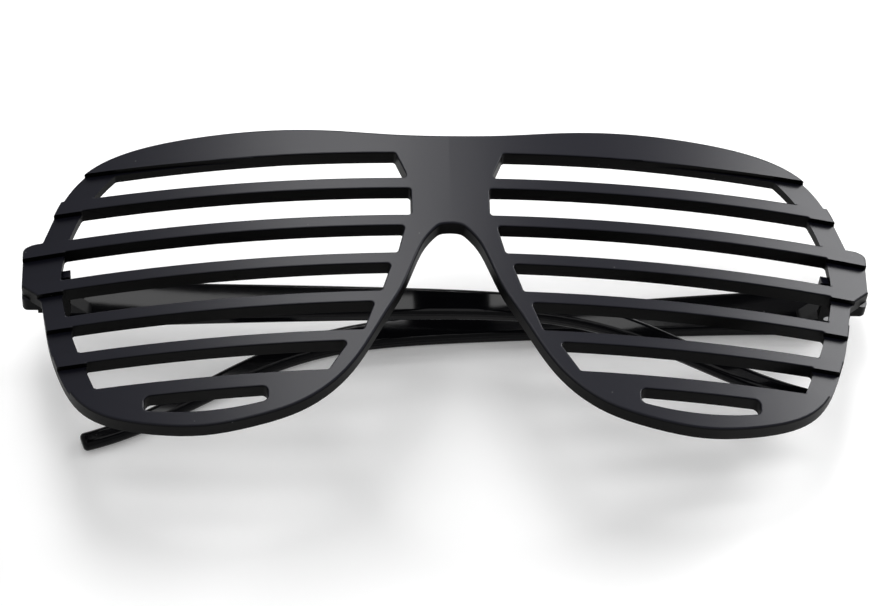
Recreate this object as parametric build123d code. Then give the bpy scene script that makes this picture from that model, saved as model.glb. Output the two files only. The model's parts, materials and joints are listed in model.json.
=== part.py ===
from build123d import *
import math
import os

# Slatted novelty glasses, folded and lying face up, as on a table.
# X runs across the face, Y from the lobes to the brow, and Z up, out of the face.
# The origin lies on the table, under the middle of the front moulding.
# Lengths are millimetres and angles degrees. The right side is that of positive X.

# Front moulding
front_width = 150.0
front_height = 59.2
front_thickness = 3.4
bow_radius = 230.0
slat_count = 5
slat_height = 2.25
rim_recess = 1.3
rim_recess_inset = 0.1
outline_round = 0.4
lug_round = 1.2
slot_corner_round = 0.6
slot_edge_round = 0.25
small_slot_round = 1.1

# Layout of the slats and slots, as shares of the front's height
slat_pitch_share = 0.1301
first_slat_rise_share = 0.2111
first_slot_height_share = 0.0878
small_slot_height_share = 0.0659
small_slot_end_height_share = 0.0456
small_slot_drop_share = 0.0456

# How far the upper slats fan out at their outer ends, as a share of their height over the middle slat
slat_fan_share = 0.06

# Ends of the short slot in a lobe, as shares of half the front's width
small_slot_inner_share = 0.424
small_slot_outer_share = 0.704

# End pieces, which wrap back to the hinges
leg_thickness = 3.3
leg_length = 5.9
leg_height = 8.3
leg_round = 1.0

# Hinges
pin_inset = 3.5
hinge_drop = 2.0
pin_radius = 0.7
pin_running_gap = 0.05
pin_seat_gap = 0.02
knuckle_radius = 1.7
knuckle_height = 2.4
knuckle_side_gap = 0.12
ear_height = 1.4
screw_head_radius = 1.25
screw_head_height = 0.6
screw_slot_width = 0.35
screw_slot_depth = 0.3
butt_gap = 0.15

# Temples
temple_reach = 133.1
temple_end_height = 8.3
temple_end_thickness = 3.3
temple_end_round = 0.7
temple_tip_height = 3.3
temple_tip_thickness = 2.6
temple_tip_round = 1.2
temple_nose_round = 0.8
temple_flat_cut = 0.12
arm_length = 4.8
taper_power = 1.2
section_count = 12

# How the folded glasses lie: the front's tilt and the upper temple's slope
lie_tilt = 3.0
upper_temple_slope = 1.05

# One overrun for every cut, and one embedding for every joint of two shapes
overrun = 6.0
embed = 0.5

# Half outline of the front from the hinge line: x as shares of half the width,
# y as shares of the height. Brow from the middle out, lug, then side, lobe and nose arch.
brow_shares = [
    (0.0, 0.364), (0.140, 0.371), (0.260, 0.388), (0.360, 0.399), (0.480, 0.403), (0.600, 0.398),
    (0.727, 0.381), (0.800, 0.357), (0.855, 0.320), (0.913, 0.229), (0.955, 0.102),
]
lug_shares = [(0.955, 0.102), (1.0, 0.084), (1.0, -0.047), (0.951, -0.101)]
lobe_shares = [
    (0.951, -0.101), (0.941, -0.182), (0.928, -0.266), (0.905, -0.358), (0.880, -0.428),
    (0.848, -0.484), (0.799, -0.531), (0.742, -0.562), (0.678, -0.584), (0.567, -0.601),
    (0.453, -0.584), (0.340, -0.538), (0.240, -0.435), (0.150, -0.246), (0.119, -0.177),
    (0.075, -0.040), (0.060, -0.003), (0.035, 0.036), (0.0, 0.050),
]
# Ends of the slots: the nose side from the brow down, and the rim's inner edge back up.
nose_side_shares = [
    (0.129, 0.307), (0.092, 0.193), (0.092, 0.071), (0.105, 0.056), (0.128, -0.063),
    (0.137, -0.074), (0.167, -0.193), (0.176, -0.203), (0.209, -0.321), (0.233, -0.333),
    (0.290, -0.446),
]
rim_side_shares = [
    (0.814, -0.446), (0.858, -0.305), (0.890, -0.177), (0.907, -0.035), (0.904, 0.026),
    (0.888, 0.111), (0.840, 0.232), (0.786, 0.307),
]
# Centre line of a temple: shares of its reach along it and down.
temple_line_shares = [
    (0.0, 0.0), (0.275, -0.0053), (0.5166, -0.0149), (0.6326, -0.0262), (0.7099, -0.0450),
    (0.7728, -0.0715), (0.8598, -0.1186), (0.9323, -0.1555), (1.0, -0.1795),
]

half_width = front_width / 2
slat_pitch = slat_pitch_share * front_height
first_slat_rise = first_slat_rise_share * front_height
first_slot_height = first_slot_height_share * front_height
leg_inner = half_width - leg_thickness
pin_x = leg_inner - pin_inset
face_to_temple = pin_inset + temple_end_thickness


def face_drop(x):
    """How far the bowed face lies below its middle at this x."""
    return bow_radius - math.sqrt(bow_radius ** 2 - x ** 2)


leg_end = -(face_drop(half_width) + leg_length)
pin_z = leg_end
leg_top = leg_end + leg_length + front_thickness


def scaled(shares):
    return [(sx * half_width, sy * front_height) for sx, sy in shares]


def bowed_body(depth):
    """Everything below a surface that lies this deep under the bowed face."""
    drum = Cylinder(bow_radius - depth, front_height * 2, rotation=(90, 0, 0))
    return Pos(0, 0, -bow_radius) * drum


def mirrored(shape):
    return mirror(shape, about=Plane.YZ)


def slat_top(number):
    """Upper edge of a slat, counted from 1 under the brow. The lobe follows the last slat."""
    return first_slat_rise - (number - 1) * slat_pitch


def fanned(x, y):
    """Height at x of a slat's edge that starts from the middle at y."""
    over_middle = max(y - slat_top((slat_count + 1) / 2), 0)
    return y + slat_fan_share * over_middle * x / half_width


def slot_band(number, low_x, high_x, inset=0):
    """Plan of one slot, between the slat above it and the slat below."""
    low = slat_top(number)
    high = low + (first_slot_height if number == 1 else slat_pitch - slat_height)
    corners = [(low_x, low, inset), (high_x, low, inset), (high_x, high, -inset), (low_x, high, -inset)]
    return make_face(Polyline(*[(x, fanned(x, y) + shift) for x, y, shift in corners], close=True))


def front_outline():
    brow, lug, lobe = scaled(brow_shares), scaled(lug_shares), scaled(lobe_shares)
    half = [Spline(*brow, tangents=[(1, 0), (brow[-1][0] - brow[-2][0], brow[-1][1] - brow[-2][1])])]
    half.append(Polyline(*lug))
    half.append(Spline(*lobe, tangents=[(lobe[1][0] - lobe[0][0], lobe[1][1] - lobe[0][1]), (-1, 0)]))
    half.append(Line(lobe[-1], brow[0]))
    side = make_face(half)
    side = fillet([v for v in side.vertices() if v.X > lug[0][0] - embed], lug_round)
    return side + mirrored(side)


def aperture():
    """Plan of the see-through area of one side, which the slats cross."""
    nose, rim = scaled(nose_side_shares), scaled(rim_side_shares)
    edges = [Polyline(*nose), Line(nose[-1], rim[0]), Spline(*rim), Line(rim[-1], nose[0])]
    return make_face(edges)


def slot_plans():
    """Plans of the through slots of one side, from the brow down."""
    area = aperture()
    plans = []
    for number in range(1, slat_count + 2):
        plan = area & slot_band(number, 0, half_width)
        plans.append(fillet(plan.vertices(), slot_corner_round))
    return plans


def small_slot_plan():
    """Plan of the short slot in a lobe, with its bowed lower edge."""
    left, right = small_slot_inner_share * half_width, small_slot_outer_share * half_width
    top = slat_top(slat_count + 1) - small_slot_drop_share * front_height
    low = top - small_slot_end_height_share * front_height
    middle = ((left + right) / 2, top - small_slot_height_share * front_height)
    arc = ThreePointArc((left, low), middle, (right, low))
    plan = make_face([arc, Polyline((right, low), (right, top), (left, top), (left, low))])
    return fillet(plan.vertices(), small_slot_round)


def prism(plan):
    """A plan carried right through the front along Z."""
    depth = face_drop(half_width) + front_thickness + leg_length
    return Pos(0, 0, -depth) * extrude(plan, depth + overrun)


def hinge_ears():
    """The two ears behind the rim of one side, with their screw hole."""
    left, wall = pin_x - knuckle_radius, leg_inner + embed
    profile = Pos(pin_x, pin_z) * Circle(knuckle_radius)
    profile += Pos((left + wall) / 2, (pin_z + leg_top) / 2) * Rectangle(wall - left, leg_top - pin_z)
    ears = None
    start = knuckle_height / 2 + knuckle_side_gap
    for low in (start, -start - ear_height):
        ear = extrude(Plane.XZ.offset(hinge_drop - low) * profile, -ear_height)
        ears = ear if ears is None else ears + ear
    ears &= bowed_body(front_thickness - embed)
    hole = Cylinder(pin_radius + pin_seat_gap, temple_end_height * 2, rotation=(90, 0, 0))
    return ears - Pos(pin_x, -hinge_drop, pin_z) * hole


def leg():
    """End piece of one side, from the rim back to the temple's butt."""
    plan = Pos(half_width - leg_thickness / 2, 0) * Rectangle(leg_thickness, leg_height)
    plan = fillet([v for v in plan.vertices() if v.X > leg_inner + embed], leg_round)
    block = Pos(0, 0, leg_end) * extrude(plan, leg_top - leg_end)
    return block & bowed_body(front_thickness - embed)


def bowed_face(body):
    """The front surface, which is the uppermost face."""
    return body.faces().sort_by(Axis.Z)[-1]


def make_front():
    """The front moulding: one side is cut and rounded, then joined to its mirror image."""
    body = prism(front_outline()) & bowed_body(0)
    body -= bowed_body(front_thickness)
    body = fillet(bowed_face(body).edges(), outline_round)
    body -= prism(Sketch() + slot_plans() + small_slot_plan())
    slot_edges = [edge for wire in bowed_face(body).inner_wires() for edge in wire.edges()]
    body = fillet(slot_edges, slot_edge_round)
    body = split(body, bisect_by=Plane.YZ, keep=Keep.TOP)
    rim_cut = None
    for number in range(1, slat_count + 2):
        band = slot_band(number, half_width / 2, half_width + overrun, rim_recess_inset)
        rim_cut = band if rim_cut is None else rim_cut + band
    rim_cut = prism(rim_cut) - bowed_body(rim_recess)
    side = body - rim_cut + leg() + hinge_ears()
    return side + mirrored(side)


def make_screw():
    """Slotted hinge screw of the right side, its head towards the brow."""
    seat = knuckle_height / 2 + knuckle_side_gap + ear_height
    shank = Cylinder(pin_radius, seat * 2, rotation=(90, 0, 0))
    head = Cylinder(screw_head_radius, screw_head_height, rotation=(90, 0, 0))
    head = Pos(0, seat + screw_head_height / 2, 0) * head
    groove = Box(screw_head_radius * 3, screw_slot_depth, screw_slot_width)
    head -= Pos(0, seat + screw_head_height - screw_slot_depth / 2, 0) * groove
    return shank + head


def section_at(line, share):
    """Rounded cross-section of a temple, square to its centre line."""
    slim = (1 - share) ** taper_power
    height = temple_tip_height + (temple_end_height - temple_tip_height) * slim
    thickness = temple_tip_thickness + (temple_end_thickness - temple_tip_thickness) * slim
    corner = temple_tip_round + (temple_end_round - temple_tip_round) * slim
    at = line @ share
    direction = line % share
    centre = (at.X, at.Y, -face_to_temple - temple_flat_cut + thickness / 2)
    plane = Plane(origin=centre, x_dir=(0, 0, 1), z_dir=direction)
    return plane * RectangleRounded(thickness, height, corner)


def make_temple():
    """Temple as it folds from a pin at the origin, pointing along X, its outer face down."""
    start, run = butt_gap, temple_reach - butt_gap
    line = Spline(*[(start + sx * run, hinge_drop + sy * temple_reach) for sx, sy in temple_line_shares],
                  tangents=[(1, 0), (1, (temple_line_shares[-1][1] - temple_line_shares[-2][1])
                                     / (temple_line_shares[-1][0] - temple_line_shares[-2][0]))])
    bar = loft([section_at(line, i / (section_count - 1)) for i in range(section_count)])
    bar = fillet(bar.faces().sort_by(Axis.X)[-1].edges(), temple_nose_round)
    below = Box(temple_reach * 3, temple_reach, overrun, align=(Align.CENTER, Align.CENTER, Align.MAX))
    bar -= Pos(0, 0, -face_to_temple) * below
    arm = make_hull((Circle(knuckle_radius).edges()
                     + Line((start, -pin_inset), (start + arm_length, -pin_inset)).edges()))
    root = Pos(start + arm_length / 2, -pin_inset - embed / 2) * Rectangle(arm_length, embed)
    profile = make_face(arm.edges()) + root
    arm = extrude(Plane.XZ.offset(knuckle_height / 2) * profile, -knuckle_height)
    hole = Cylinder(pin_radius + pin_running_gap, temple_end_height * 2, rotation=(90, 0, 0))
    return bar + arm - hole


tilt = Rot(0, lie_tilt, 0)
pin_right = tilt * Pos(pin_x, -hinge_drop, pin_z)
lift = face_to_temple - pin_right.position.Z
lie = Pos(0, 0, lift) * tilt

front = lie * make_front()
middle = front.bounding_box().center()
to_origin = Pos(-middle.X, -middle.Y, 0)
place_right = to_origin * lie * Pos(pin_x, -hinge_drop, pin_z)
place_left = to_origin * lie * Pos(-pin_x, -hinge_drop, pin_z)
right_pin, left_pin = place_right.position, place_left.position

screw, temple = make_screw(), make_temple()
parts = {
    "front_frame": to_origin * front,
    "right_hinge_screw": place_right * screw,
    "left_hinge_screw": place_left * screw,
    "right_temple": Pos(*right_pin) * mirrored(temple),
    "left_temple": Pos(*left_pin) * Rot(0, -upper_temple_slope, 0) * temple,
}

os.makedirs("parts", exist_ok=True)
for name, part in parts.items():
    part.label = name
    export_step(part, f"parts/{name}.step")

print("right pin", tuple(round(v, 4) for v in right_pin), "opens", 90 - lie_tilt)
print("left pin", tuple(round(v, 4) for v in left_pin), "opens", 90 + lie_tilt + upper_temple_slope)
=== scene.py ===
import json
import math

import bpy
import numpy as np
from mathutils import Matrix, Vector

# Slatted glasses, folded and face up on a white table. Lengths are metres and colours are linear.

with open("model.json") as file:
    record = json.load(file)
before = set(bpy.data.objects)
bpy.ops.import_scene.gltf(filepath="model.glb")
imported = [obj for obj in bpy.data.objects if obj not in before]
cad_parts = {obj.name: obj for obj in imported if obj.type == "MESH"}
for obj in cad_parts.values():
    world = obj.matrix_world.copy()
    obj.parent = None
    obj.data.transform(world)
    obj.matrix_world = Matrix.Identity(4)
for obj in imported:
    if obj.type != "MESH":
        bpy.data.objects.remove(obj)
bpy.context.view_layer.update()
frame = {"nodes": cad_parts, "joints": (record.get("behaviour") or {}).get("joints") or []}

# The front lies tilted on the table, so the camera is placed in the front's own axes. The middle of its
# bowed face stands out from the line between its hinges, and the camera aims a little below them.
FACE_OUT_OF_HINGES = 0.018472
AIM_BELOW_HINGES = 0.00875

CAMERA_AZIMUTH = math.radians(-6.53)
CAMERA_ELEVATION = math.radians(58.0)
CAMERA_ROLL = math.radians(6.0)
CAMERA_DISTANCE = 0.6
CAMERA_LENS = 141.2
CAMERA_CLIP = (0.01, 20.0)
SENSOR_WIDTH = 36.0
PICTURE_SIZE = (888, 606)
FOCAL_PIXELS = CAMERA_LENS / SENSOR_WIDTH * PICTURE_SIZE[0]
AIM_PIXEL = (453.23, 290.0)


def unit(vector):
    return vector / np.linalg.norm(vector)


def front_axes():
    """Middle of the front's face, and the front's axes as columns: across it from the left hinge to the
    right one, up to the brow, and out of the face."""
    pins = {joint["name"]: np.array(joint["pos_m"]) for joint in frame["joints"]}
    right, left = pins["right_temple_fold"], pins["left_temple_fold"]
    across = unit(right - left)
    brow = np.array((0.0, 1.0, 0.0))
    out = np.cross(across, brow)
    return (right + left) / 2 + out * FACE_OUT_OF_HINGES, np.column_stack((across, brow, out))


def sight_axes(axes):
    """Right, up and back of a camera that looks at the front from the set azimuth and elevation. Right
    and up are then rolled about back."""
    level = math.cos(CAMERA_ELEVATION)
    back = axes @ np.array((math.sin(CAMERA_AZIMUTH) * level, -math.cos(CAMERA_AZIMUTH) * level,
                            math.sin(CAMERA_ELEVATION)))
    right = axes @ np.array((math.cos(CAMERA_AZIMUTH), math.sin(CAMERA_AZIMUTH), 0.0))
    up = np.cross(back, right)
    right, up = (math.cos(CAMERA_ROLL) * right + math.sin(CAMERA_ROLL) * up,
                 math.cos(CAMERA_ROLL) * up - math.sin(CAMERA_ROLL) * right)
    return right, up, back


def place_camera():
    """Camera at the photograph's angle. It stands back from the aim point along one line, and turns a
    little off it, so that the aim point falls on its own pixel."""
    middle, axes = front_axes()
    aim = middle + axes @ np.array((0.0, -AIM_BELOW_HINGES, 0.0))
    right, up, back = sight_axes(axes)
    eye = aim + back * CAMERA_DISTANCE
    pixels_right = AIM_PIXEL[0] - PICTURE_SIZE[0] / 2
    pixels_up = PICTURE_SIZE[1] / 2 - AIM_PIXEL[1]
    centre = aim - (right * pixels_right + up * pixels_up) * CAMERA_DISTANCE / FOCAL_PIXELS
    back = unit(eye - centre)
    right = unit(right - back * (right @ back))
    up = np.cross(back, right)

    data = bpy.data.cameras.new("camera")
    data.lens, data.sensor_width, data.sensor_fit = CAMERA_LENS, SENSOR_WIDTH, "HORIZONTAL"
    data.clip_start, data.clip_end = CAMERA_CLIP
    camera = bpy.data.objects.new("camera", data)
    bpy.context.collection.objects.link(camera)
    matrix = np.eye(4)
    matrix[:3] = np.column_stack((right, up, back, eye))
    camera.matrix_world = Matrix(matrix.tolist())
    bpy.context.scene.camera = camera


# Building blocks of the materials

def connect(tree, node, sources):
    """Feeds each named input of a node from an output socket, or gives it a plain value."""
    for name, source in sources.items():
        if isinstance(source, bpy.types.NodeSocket):
            tree.links.new(source, node.inputs[name])
        else:
            node.inputs[name].default_value = source


def add(tree, kind, sources, **settings):
    """One node with its settings and its inputs."""
    node = tree.nodes.new(kind)
    for name, value in settings.items():
        setattr(node, name, value)
    connect(tree, node, sources)
    return node


def maths(tree, operation, first, second, clamp=False):
    node = add(tree, "ShaderNodeMath", {0: first, 1: second}, operation=operation, use_clamp=clamp)
    return node.outputs[0]


def faded(tree, value, start, full):
    """A mask: 0 up to start, 1 from full on, and a straight slope between them."""
    sources = {"Value": value, "From Min": start, "From Max": full}
    return add(tree, "ShaderNodeMapRange", sources).outputs["Result"]


def mixed(tree, share, low, high):
    """A value: low where share is 0 and high where it is 1."""
    sources = {"Value": share, "To Min": low, "To Max": high}
    return add(tree, "ShaderNodeMapRange", sources).outputs["Result"]


def opaque(colour):
    """A plain colour with its alpha added, or a socket as it is."""
    return colour if isinstance(colour, bpy.types.NodeSocket) else (*colour, 1.0)


def blended(tree, share, first, second):
    """A colour: first where share is 0 and second where it is 1."""
    sources = {"Factor": share, "A": opaque(first), "B": opaque(second)}
    return add(tree, "ShaderNodeMix", sources, data_type="RGBA").outputs["Result"]


def bumped(tree, height, strength, depth):
    """A normal that follows the height. A height of 1 stands depth metres high."""
    sources = {"Height": height, "Strength": strength, "Distance": depth}
    return add(tree, "ShaderNodeBump", sources).outputs["Normal"]


# Effects that several materials share, each a node group

# Hairlines: stretch of their noise, the part of its range that shows as a line, and the patches they
# are broken into
HAIRLINE_STRETCH = (120.0, 5200.0, 400.0)
HAIRLINE_RIDGE = (0.66, 0.74)
HAIRLINE_PATCH_SCALE = 160.0
HAIRLINE_PATCH = (0.5, 0.64)

# Specks: distance from the middle of a cell at which one starts and at which it is full
SPECK_EDGE = (0.12, 0.04)


def new_group(name, inputs, outputs):
    """An empty shader group. inputs maps names to first values, None for a vector; outputs are masks."""
    tree = bpy.data.node_groups.new(name, "ShaderNodeTree")
    for socket, value in inputs.items():
        kind = "NodeSocketVector" if value is None else "NodeSocketFloat"
        made = tree.interface.new_socket(name=socket, in_out="INPUT", socket_type=kind)
        if value is not None:
            made.default_value = value
    for socket in outputs:
        tree.interface.new_socket(name=socket, in_out="OUTPUT", socket_type="NodeSocketFloat")
    return tree, tree.nodes.new("NodeGroupInput").outputs, tree.nodes.new("NodeGroupOutput")


def moulding_grain():
    """Surface of a moulded plastic: fine noise as a height, and coarse noise as a mask of soft clouds."""
    tree, given, result = new_group(
        "moulding_grain", {"Vector": None, "Grain Scale": 4000.0, "Cloud Scale": 90.0},
        ("Height", "Clouds"))
    grain = add(tree, "ShaderNodeTexNoise", {"Vector": given["Vector"], "Scale": given["Grain Scale"],
                                             "Detail": 2.0, "Roughness": 0.55})
    clouds = add(tree, "ShaderNodeTexNoise", {"Vector": given["Vector"], "Scale": given["Cloud Scale"],
                                              "Detail": 3.0, "Roughness": 0.5})
    connect(tree, result, {"Height": grain.outputs["Fac"], "Clouds": clouds.outputs["Fac"]})
    return tree


def handling_marks():
    """Faint hairlines from handling: noise stretched a long way in one direction, of which only the
    highest ridges stay, broken up by a second, rounder noise."""
    tree, given, result = new_group(
        "handling_marks", {"Vector": None, "Turn": 0.6, "Amount": 0.5}, ("Marks",))
    turn = add(tree, "ShaderNodeCombineXYZ", {"Z": given["Turn"]})
    lay = add(tree, "ShaderNodeMapping", {"Vector": given["Vector"], "Rotation": turn.outputs["Vector"],
                                          "Scale": HAIRLINE_STRETCH})
    ridges = add(tree, "ShaderNodeTexNoise", {"Vector": lay.outputs["Vector"], "Scale": 1.0,
                                              "Detail": 1.0})
    patches = add(tree, "ShaderNodeTexNoise", {"Vector": given["Vector"],
                                               "Scale": HAIRLINE_PATCH_SCALE})
    marks = maths(tree, "MULTIPLY", faded(tree, ridges.outputs["Fac"], *HAIRLINE_RIDGE),
                  faded(tree, patches.outputs["Fac"], *HAIRLINE_PATCH))
    connect(tree, result, {"Marks": maths(tree, "MULTIPLY", marks, given["Amount"], clamp=True)})
    return tree


def fine_dust():
    """Specks of dust: small round cells, of which a random few stay."""
    tree, given, result = new_group(
        "fine_dust", {"Vector": None, "Speck Scale": 700.0, "Share": 0.05}, ("Specks",))
    cells = add(tree, "ShaderNodeTexVoronoi", {"Vector": given["Vector"],
                                               "Scale": given["Speck Scale"]}).outputs
    pick = add(tree, "ShaderNodeSeparateColor", {"Color": cells["Color"]}).outputs[0]
    kept = maths(tree, "LESS_THAN", pick, given["Share"])
    core = faded(tree, cells["Distance"], *SPECK_EDGE)
    connect(tree, result, {"Specks": maths(tree, "MULTIPLY", core, kept)})
    return tree


GRAIN, MARKS, DUST = moulding_grain(), handling_marks(), fine_dust()


def new_material(name):
    material = bpy.data.materials.new(name)
    material.use_nodes = True
    tree = material.node_tree
    return material, tree, tree.nodes["Principled BSDF"]


def place_group(tree, group, sources):
    return add(tree, "ShaderNodeGroup", sources, node_tree=group).outputs


# Finishes

DUST_GREY = (0.05, 0.05, 0.052)

# Front: its face starts where a surface turns up this far, and is full further on. The walls' deeper
# black than the face is painted shade, and the face's blue tint is painted sheen. A hairline is a little
# smoother than the satin round it. Grain and waves are given as bump strength and depth.
FACE_TURN = (0.25, 0.9)
# The face's blue tint is painted sheen; the black under it is the plastic's own.
FACE_BLACK_PAINTED_BLUE_SHEEN = (0.0056, 0.0058, 0.0105)
FACE_SHEEN = 0.42
# Painted shade: the walls are given a deeper black than the face.
WALL_BLACK_PAINTED_SHADE = (0.0012, 0.0012, 0.0013)
FRONT_ROUGHNESS = (0.31, 0.43)
FRONT_HAIRLINE = -0.08
FRONT_GRAIN = (0.16, 0.00002)

# Temples: a hairline is duller than the polish round it
TEMPLE_BLACK = (0.0026, 0.0026, 0.0034)
TEMPLE_ROUGHNESS = (0.07, 0.14)
TEMPLE_HAIRLINE = 0.16
TEMPLE_WAVES = (0.12, 0.0002)

# Screws
STEEL = (0.46, 0.46, 0.47)
SCRATCHED_STEEL = (0.30, 0.30, 0.30)
SCREW_ROUGHNESS = (0.24, 0.42)
SCREW_GRAIN = (0.2, 0.00001)


def satin_front():
    """Satin black moulding: a grained face with a soft sheen, and smooth walls. The walls' deeper black
    is painted shade, and the face's blue tint is painted sheen.
    """
    material, tree, shader = new_material("satin_black_plastic")
    surface = add(tree, "ShaderNodeTexCoord", {}).outputs
    where = surface["Object"]
    facing = add(tree, "ShaderNodeSeparateXYZ", {"Vector": surface["Normal"]}).outputs
    face = faded(tree, facing["Z"], *FACE_TURN)
    grain = place_group(tree, GRAIN, {"Vector": where, "Grain Scale": 3600.0, "Cloud Scale": 70.0})
    marks = place_group(tree, MARKS, {"Vector": where, "Turn": 0.35, "Amount": 0.35})
    dust = place_group(tree, DUST, {"Vector": where, "Speck Scale": 620.0, "Share": 0.03})
    # Painted shade and sheen: the walls get a deeper black than the face, and the face a blue tint that
    # stands in for the colour of its sheen.
    black = blended(tree, face, WALL_BLACK_PAINTED_SHADE, FACE_BLACK_PAINTED_BLUE_SHEEN)
    satin = mixed(tree, grain["Clouds"], *FRONT_ROUGHNESS)
    hairline = maths(tree, "MULTIPLY", marks["Marks"], FRONT_HAIRLINE)
    connect(tree, shader, {
        "Base Color": blended(tree, dust["Specks"], black, DUST_GREY),
        "Roughness": maths(tree, "ADD", satin, hairline),
        "Specular IOR Level": 0.03,
        "Coat Weight": mixed(tree, face, 0.0, FACE_SHEEN),
        "Coat Roughness": 0.30,
        "Coat IOR": 1.5,
        "Normal": bumped(tree, grain["Height"], *FRONT_GRAIN)})
    return material


def glossy_temple():
    """Polished black moulding with slow waves in it, hairlines and a little dust."""
    material, tree, shader = new_material("glossy_black_plastic")
    where = add(tree, "ShaderNodeTexCoord", {}).outputs["Object"]
    grain = place_group(tree, GRAIN, {"Vector": where, "Grain Scale": 900.0, "Cloud Scale": 120.0})
    marks = place_group(tree, MARKS, {"Vector": where, "Turn": -0.1, "Amount": 0.6})
    dust = place_group(tree, DUST, {"Vector": where, "Speck Scale": 560.0, "Share": 0.04})
    polish = mixed(tree, grain["Clouds"], *TEMPLE_ROUGHNESS)
    hairline = maths(tree, "MULTIPLY", marks["Marks"], TEMPLE_HAIRLINE)
    connect(tree, shader, {
        "Base Color": blended(tree, dust["Specks"], TEMPLE_BLACK, DUST_GREY),
        "Roughness": maths(tree, "ADD", polish, hairline),
        "Specular IOR Level": 0.11,
        "Normal": bumped(tree, grain["Clouds"], *TEMPLE_WAVES)})
    return material


def plated_screw():
    """Plated steel, cloudy and finely grained, with darker scratches."""
    material, tree, shader = new_material("plated_steel")
    where = add(tree, "ShaderNodeTexCoord", {}).outputs["Object"]
    grain = place_group(tree, GRAIN, {"Vector": where, "Grain Scale": 9000.0, "Cloud Scale": 500.0})
    marks = place_group(tree, MARKS, {"Vector": where, "Turn": 0.9, "Amount": 0.7})
    connect(tree, shader, {
        "Base Color": blended(tree, marks["Marks"], STEEL, SCRATCHED_STEEL),
        "Roughness": mixed(tree, grain["Clouds"], *SCREW_ROUGHNESS),
        "Metallic": 1.0,
        "Normal": bumped(tree, grain["Height"], *SCREW_GRAIN)})
    return material


def dress_nodes():
    finishes = {"front_frame": satin_front()}
    temple, screw = glossy_temple(), plated_screw()
    for side in ("right", "left"):
        finishes[f"{side}_temple"] = temple
        finishes[f"{side}_hinge_screw"] = screw
    for node, material in finishes.items():
        for slot in frame["nodes"][node].material_slots:
            slot.material = material


# Table and light

TABLE_SIZE = 6.0
TABLE_WHITE = (0.93, 0.93, 0.93)
TABLE_GLOW = (0.12, 0.12, 0.12)
NO_GLOW = (0.0, 0.0, 0.0)

# Brightness of the white room as a lamp, and as the camera sees it
ROOM_LIGHT = 0.42
ROOM_SEEN = 1.0

# Name, place, point it faces, width and height, and watts of each lamp
LAMPS = (
    ("right_softbox", (0.685, 0.46, 0.446), (0.05, 0.0, 0.02), (0.5, 0.36), 7.5),
    ("back_softbox", (-0.07, 0.56, 0.70), (0.0, 0.0, 0.02), (0.3, 0.62), 4.6),
    ("top_softbox", (-0.1, -0.05, 0.9), (0.0, 0.0, 0.0), (0.5, 0.5), 1.2),
)


def white_table():
    """White table. Only the camera sees its extra glow, which lifts it to pure white and leaves the
    shadows light."""
    side = TABLE_SIZE / 2
    mesh = bpy.data.meshes.new("table")
    mesh.from_pydata([(-side, -side, 0), (side, -side, 0), (side, side, 0), (-side, side, 0)], [],
                     [(0, 1, 2, 3)])
    table = bpy.data.objects.new("table", mesh)
    bpy.context.collection.objects.link(table)
    material, tree, shader = new_material("white_table")
    seen = add(tree, "ShaderNodeLightPath", {}).outputs["Is Camera Ray"]
    connect(tree, shader, {
        "Base Color": opaque(TABLE_WHITE),
        "Roughness": 0.9,
        "Specular IOR Level": 0.1,
        "Emission Color": blended(tree, seen, NO_GLOW, TABLE_GLOW),
        "Emission Strength": 1.0})
    mesh.materials.append(material)


def white_room():
    world = bpy.data.worlds.new("white_room")
    bpy.context.scene.world = world
    world.use_nodes = True
    tree = world.node_tree
    seen = add(tree, "ShaderNodeLightPath", {}).outputs["Is Camera Ray"]
    connect(tree, tree.nodes["Background"], {
        "Color": (1.0, 1.0, 1.0, 1.0),
        "Strength": mixed(tree, seen, ROOM_LIGHT, ROOM_SEEN)})


def soft_lamp(name, place, target, size, watts):
    data = bpy.data.lights.new(name, "AREA")
    data.shape, data.energy = "RECTANGLE", watts
    data.size, data.size_y = size
    lamp = bpy.data.objects.new(name, data)
    lamp.location = place
    lamp.rotation_euler = (Vector(target) - Vector(place)).to_track_quat("-Z", "Y").to_euler()
    bpy.context.collection.objects.link(lamp)


place_camera()
dress_nodes()
white_table()
white_room()
for lamp in LAMPS:
    soft_lamp(*lamp)

bpy.context.scene.view_settings.view_transform = "Standard"
